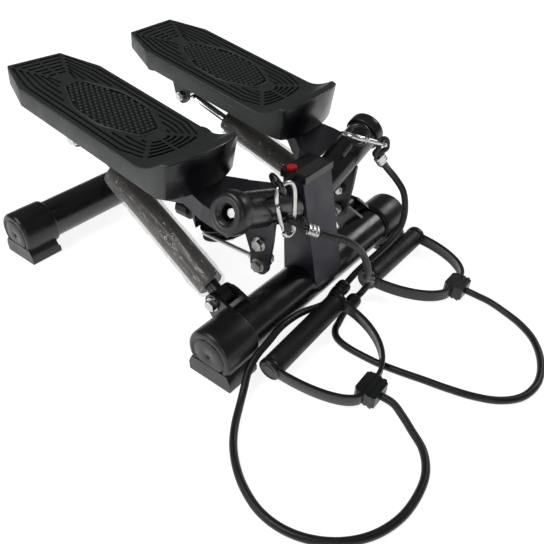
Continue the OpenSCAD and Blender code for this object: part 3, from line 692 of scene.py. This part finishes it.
def grooves(side, mirror):
    """Cutter: nested lines with ridges left at the corners, and the sunk field of nubs."""
    cut = Shape()

    def groove(points):
        for run in clipped(points):
            if len(run) > 1 and math.hypot(run[0][0] - run[-1][0], run[0][1] - run[-1][1]) > 5:
                cut.rings([[PEDAL @ q for q in r] for r in strip(run, GROOVE_W, -GROOVE_DEPTH, 6)])
    for k in range(9):
        d = 6.0 + GROOVE_STEP * k
        rx, ry = 36 - d * 0.52, -d                  # rear corner
        sx, sy = 53 - d, -50 - d * 0.28             # side, rear end
        fy = -206 + d * 0.15                        # side, front end
        tx, ty = 40 - d * 0.72, -236 + d * 0.62     # toe corner
        for g in (-1, 1):
            if rx > 6:
                groove([(g * 1.8, ry), (g * (rx - 2.6), ry)])
            if sx > 8:
                groove([(g * (rx + 1.0), ry - 2.6), (g * (rx + (sx - rx) * 0.6), (ry + sy) / 2 - 4),
                        (g * sx, sy - 4), (g * sx, fy), (g * (tx + 2.4), ty + 2.8)])
            if k < 5:
                groove([(g * 1.8, ty - 5 + k * 0.3), (g * tx * 0.55, ty - 3.6 + k * 0.2),
                        (g * (tx - 1.8), ty - 0.4)])
    cut.prism(LOZENGE, -2.0, 6, PEDAL)
    co = cut.object(side + "_cut", mirror)
    recalc(co)
    return co


NUB_R, NUB_STEP, NUB_ROW = 2.3, 6.6, 5.6


def nub_field(side, mirror):
    """Raised rim of the field and the nubs in it."""
    nubs = Shape()
    rim = [V((x, y, -0.2)) for x, y in LOZENGE]
    dense = []
    for i, q in enumerate(rim):
        r = rim[(i + 1) % len(rim)]
        dense += [q.lerp(r, 0.12), q.lerp(r, 0.5), q.lerp(r, 0.88)]
    nubs.tube([PEDAL @ q for q in dense], 1.5, 8, closed=True)
    prof = [(NUB_R + 0.3, -2.0), (NUB_R, -0.4), (NUB_R * 0.86, 0.6), (NUB_R * 0.5, 1.1), (0.01, 1.25)]
    for i in range(-6, 7):
        for j in range(24):
            x, y = i * NUB_STEP + (NUB_STEP / 2 if j % 2 else 0), -74.5 - j * NUB_ROW
            if inside(x, y, LOZENGE[::-1], -3.4):
                nubs.lathe(prof, 12, PEDAL @ shift(x, y, 0))
    piece(nubs.object(side + "_nubs", mirror), side + "_pedal",
          MAT["pedal_plastic"], angle=60)


def pedal(side, mirror):
    """The moulding with its grooves cut, painted shade on the groove and field floors and on the toe
    wall's front face, and the nubs in its field.
    """
    ob, co = skin(side, mirror), grooves(side, mirror)
    plastic, groove_shade, toe_front_shade = 0, 1, 2      # material indices on both meshes
    for me in (ob.data, co.data):
        for q in ("pedal_plastic", "groove_painted_shade", "toe_painted_shade"):
            me.materials.append(MAT[q])
    back, sign = PEDAL.inverted(), -1 if mirror else 1
    for p in ob.data.polygons:
        c = V((sign * p.center.x * 1000, p.center.y * 1000 - FRAME_Y, p.center.z * 1000))
        n = back.to_3x3() @ V((sign * p.normal.x, p.normal.y, p.normal.z))
        # faces turned forward on the toe wall get the painted shade material
        p.material_index = toe_front_shade if n.y < -0.45 and (back @ c).y < -262 else plastic
    # every face cut by the grooves and the sunk field gets the painted shade material
    for p in co.data.polygons:
        p.material_index = groove_shade
    bo = ob.modifiers.new("grooves", "BOOLEAN")
    bo.operation, bo.object, bo.solver = "DIFFERENCE", co, "EXACT"
    dg = bpy.context.evaluated_depsgraph_get()
    me = bpy.data.meshes.new_from_object(ob.evaluated_get(dg))
    ob.modifiers.clear()
    ob.data = me
    bpy.data.objects.remove(co)
    smooth(ob, 28)
    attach(ob, side + "_pedal")
    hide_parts(side + "_pedal")
    nub_field(side, mirror)


# ---------------------------------------------------------------- base caps, pivots, shocks

def end_cap(name, sx, y):
    """Round socket over the tube's end and its flat foot."""
    s = Shape()
    prof = [(25.05, -9), (25.6, -9), (27.6, -8.2), (28.6, -6.5), (29, -4), (29, 33), (28.6, 35.6),
            (27.6, 37.4), (26, 38.6), (24, 39), (22.6, 38.8), (21.8, 38.0), (21.2, 37.6),
            (20.4, 37.7), (19.8, 38.6), (19.2, 39), (3.2, 39), (2.7, 38.7), (2.3, 38), (1.7, 37.6),
            (0.01, 37.6)]
    s.lathe(prof, 96, shift(139, y, 34.5) @ ALONG_X)
    foot = [(-29, 1.2), (-28, 0), (28, 0), (29, 1.2), (29, 11), (27.5, 15), (24.5, 21), (-24.5, 21),
            (-27.5, 15), (-29, 11)]
    to = Matrix(((0, 0, 1, 0), (1, 0, 0, y), (0, 1, 0, 0), (0, 0, 0, 1)))
    s.prism(foot, 138, 178.5, to)
    s.prism([(-28, 0), (28, 0), (28, 6.5), (26.5, 8), (-26.5, 8), (-28, 6.5)], 135, 141, to)
    ob = s.object(name + "_moulding", sx < 0)
    piece(ob, "frame", MAT["cap_plastic"], [name + "_cap"], bevel=(0.0012, 3, 35))


def pivot(side, mirror):
    """Hub cap that turns with a pedal, and the eye ring on the fixed collar."""
    s = Shape()
    prof = [(14.6, 0.2), (21.2, 0), (21.8, 0.5), (22, 1.4), (22, 9), (21.7, 11.4), (20.9, 13.4),
            (19.6, 14.8), (17.8, 15.7), (15.8, 16), (12.5, 15.8), (10.8, 15.0), (9.6, 13.4),
            (8.4, 12.2), (8, 11.6), (8, 10.6), (14.4, 10.6)]
    s.lathe(prof, 72, AXLE @ shift(119, 0, 0) @ ALONG_X)
    piece(s.object(side + "_hub_cap", mirror), side + "_pedal", MAT["cap_plastic"],
          [side + "_pivot_cap"])
    e = Shape()
    R = AXLE @ turn(30, "X") @ shift(87.8, 0, 36.7) @ turn(47.5, "Y")
    ring = [rad(9 * i) for i in range(40)]
    e.tube([R @ V((0, 10.5 * cos(a), 10.5 * sin(a))) for a in ring], 2.6, 16, closed=True)
    e.tube([R @ V((0, 0, z)) for z in (-28, -22, -15, -10.5)], [3.4, 3, 2.8, 2.6], 16)
    piece(e.object(side + "_eye", mirror), "frame", MAT["gloss_black"],
          [side + "_eye_ring"])


def pivot_bolts():
    """Washer and hexagon bolt on the end of each axle."""
    s = Shape()
    for sx in (-1, 1):
        k = Matrix.Scale(sx, 4, (1, 0, 0))
        W = k @ AXLE @ shift(119.4, 0, 0) @ ALONG_X
        washer = [(4.2, 0), (12.5, 0), (13, 0.5), (13, 1.5), (12.5, 2), (8, 2), (4.2, 2), (4.2, 0)]
        s.lathe(washer, 48, W, 1)
        hexagon = [(cos(rad(60 * i)), sin(rad(60 * i))) for i in range(6)]
        s.rings([[W @ V((r * x, r * y, z)) for x, y in hexagon]
                 for r, z in ((5.9, 2), (6, 2.3), (6, 6.2), (5.2, 7))])
        s.lathe([(0.01, -22.4), (4, -22.4), (4, 2), (0.01, 2)], 24, W)
    piece(s.object("hub_bolts"), "frame", [MAT["zinc_steel"], MAT["satin_black"]],
          ["pivot_bolts"], bevel=(0.0003, 2, 35))


SHOCK_LOW, SHOCK_TOP = V((120, -139, 57.5)), V((88, 108, 161.5))


def film(side, mirror):
    """Crinkled clear sleeve round a shock's body."""
    d = (SHOCK_TOP - SHOCK_LOW).normalized()
    B = Matrix.Translation(SHOCK_LOW) @ d.to_track_quat("Z", "X").to_matrix().to_4x4()
    k, rows, rings = 72, 96, []
    for i in range(rows + 1):
        z = 16 + 184 * i / rows
        pinch = min(1, (i / 5), (rows - i) / 5)
        ring = []
        for j in range(k):
            a = 2 * pi * j / k
            p = V((cos(a) * 16, sin(a) * 16, z))
            w = noise.noise(V((p.x * 0.16, p.y * 0.16, z * 0.055 + (7 if mirror else 0)))) * 1.9
            w += abs(noise.noise(V((p.x * 0.4, p.y * 0.4, z * 0.16)))) * -1.5
            r = 16.6 + (1.6 + w) * (0.25 + 0.75 * pinch)
            ring.append(B @ V((cos(a) * max(15.25, r), sin(a) * max(15.25, r), z)))
        rings.append(ring)
    s = Shape().rings(rings, True, (False, False))
    piece(s.object(side + "_film", mirror), side + "_cylinder", MAT["clear_film"],
          [side + "_shock_film"], angle=50)


def cable(side, mirror):
    """Half of the steel cable: at rest on the pulley, drawn by the pedal's lever."""
    B = shift(0, -36, 46) @ turn(-17.7, "X")
    far, wrap = (66, -117), 30.2
    a = math.degrees(math.atan2(far[1], far[0])) + math.degrees(math.acos(wrap / math.hypot(*far)))
    start = V((wrap * cos(rad(a)), wrap * sin(rad(a)), 0))
    run = [V((far[0], far[1], 0)).lerp(start, i / 12) for i in range(12)]
    turns = [rad(a + (90 - a) * i / 14) for i in range(15)]
    arc = [V((wrap * cos(t), wrap * sin(t), 0)) for t in turns]
    s = Shape().tube([B @ q for q in run + arc], 2.6, 14)
    s.lathe([(4.6, 63), (7.2, 63), (8, 63.8), (8, 70.7), (7.2, 71.5), (4.6, 71.5), (4.6, 63)], 40,
            shift(0, -155, 84) @ ALONG_X)
    fer = [B @ V((far[0], far[1], 0)).lerp(start, u) for u in (0.03, 0.05, 0.15, 0.17)]
    s.tube(fer, [3.2, 4.1, 4.1, 3.2], 16)
    ob = s.object(side + "_cable_run", mirror)
    recalc(ob)
    ob.data.materials.append(MAT["coated_cable"])
    smooth(ob)
    sg = -1 if mirror else 1
    far_m, near_m = B @ V((far[0], far[1], 0)), B @ start
    tuple(metres((sg * near_m.x, near_m.y, near_m.z)))
    tuple(metres((sg * far_m.x, far_m.y, far_m.z)))
    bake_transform(ob)
    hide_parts(side + "_cable")


# ---------------------------------------------------------------- CAD nodes that stay

def keep_nodes():
    """Materials and soft edges for the CAD nodes that are shown as they are."""
    by_slot = {p["node"]: p["material_slot"] for p in frame["record"]["subparts"]}
    for name, ob in frame["nodes"].items():
        slot_name = by_slot[name]
        mat = MAT["post_black"] if name == "upright_post" else MAT[slot_name]
        if ob.material_slots:
            for ms in ob.material_slots:
                ms.material = mat
        else:
            ob.data.materials.append(mat)
        if name.endswith(("cord", "cable", "film", "shock_rod")):
            continue
        boxy = name in ("upright_post", "spine_beam", "monitor_housing")
        soften(ob, 0.0015 if boxy else 0.0006, 2, 38)
        w = ob.modifiers.new("normals", "WEIGHTED_NORMAL")
        w.keep_sharp = True


camera()
for side_name, route_points in (("right", RIGHT_ROUTE), ("left", LEFT_ROUTE)):
    band(side_name, route_points)
lights()
world()
floor()
keep_nodes()
loop_and_crimp()
stoppers()
pivot_bolts()
handle("right", (-76, -219.5, 20.6), (4, 5), (-18, -93))
handle("left", (118, -217, 13.2), (2.3, 0), (0, -89))
for side_name, flip in (("right", True), ("left", False)):
    snap_hook(side_name)
    pedal(side_name, flip)
    pivot(side_name, flip)
    film(side_name, flip)
    cable(side_name, flip)
    for row, y_tube in (("front", -172), ("rear", 172)):
        end_cap(row + "_" + side_name, -1 if flip else 1, y_tube)
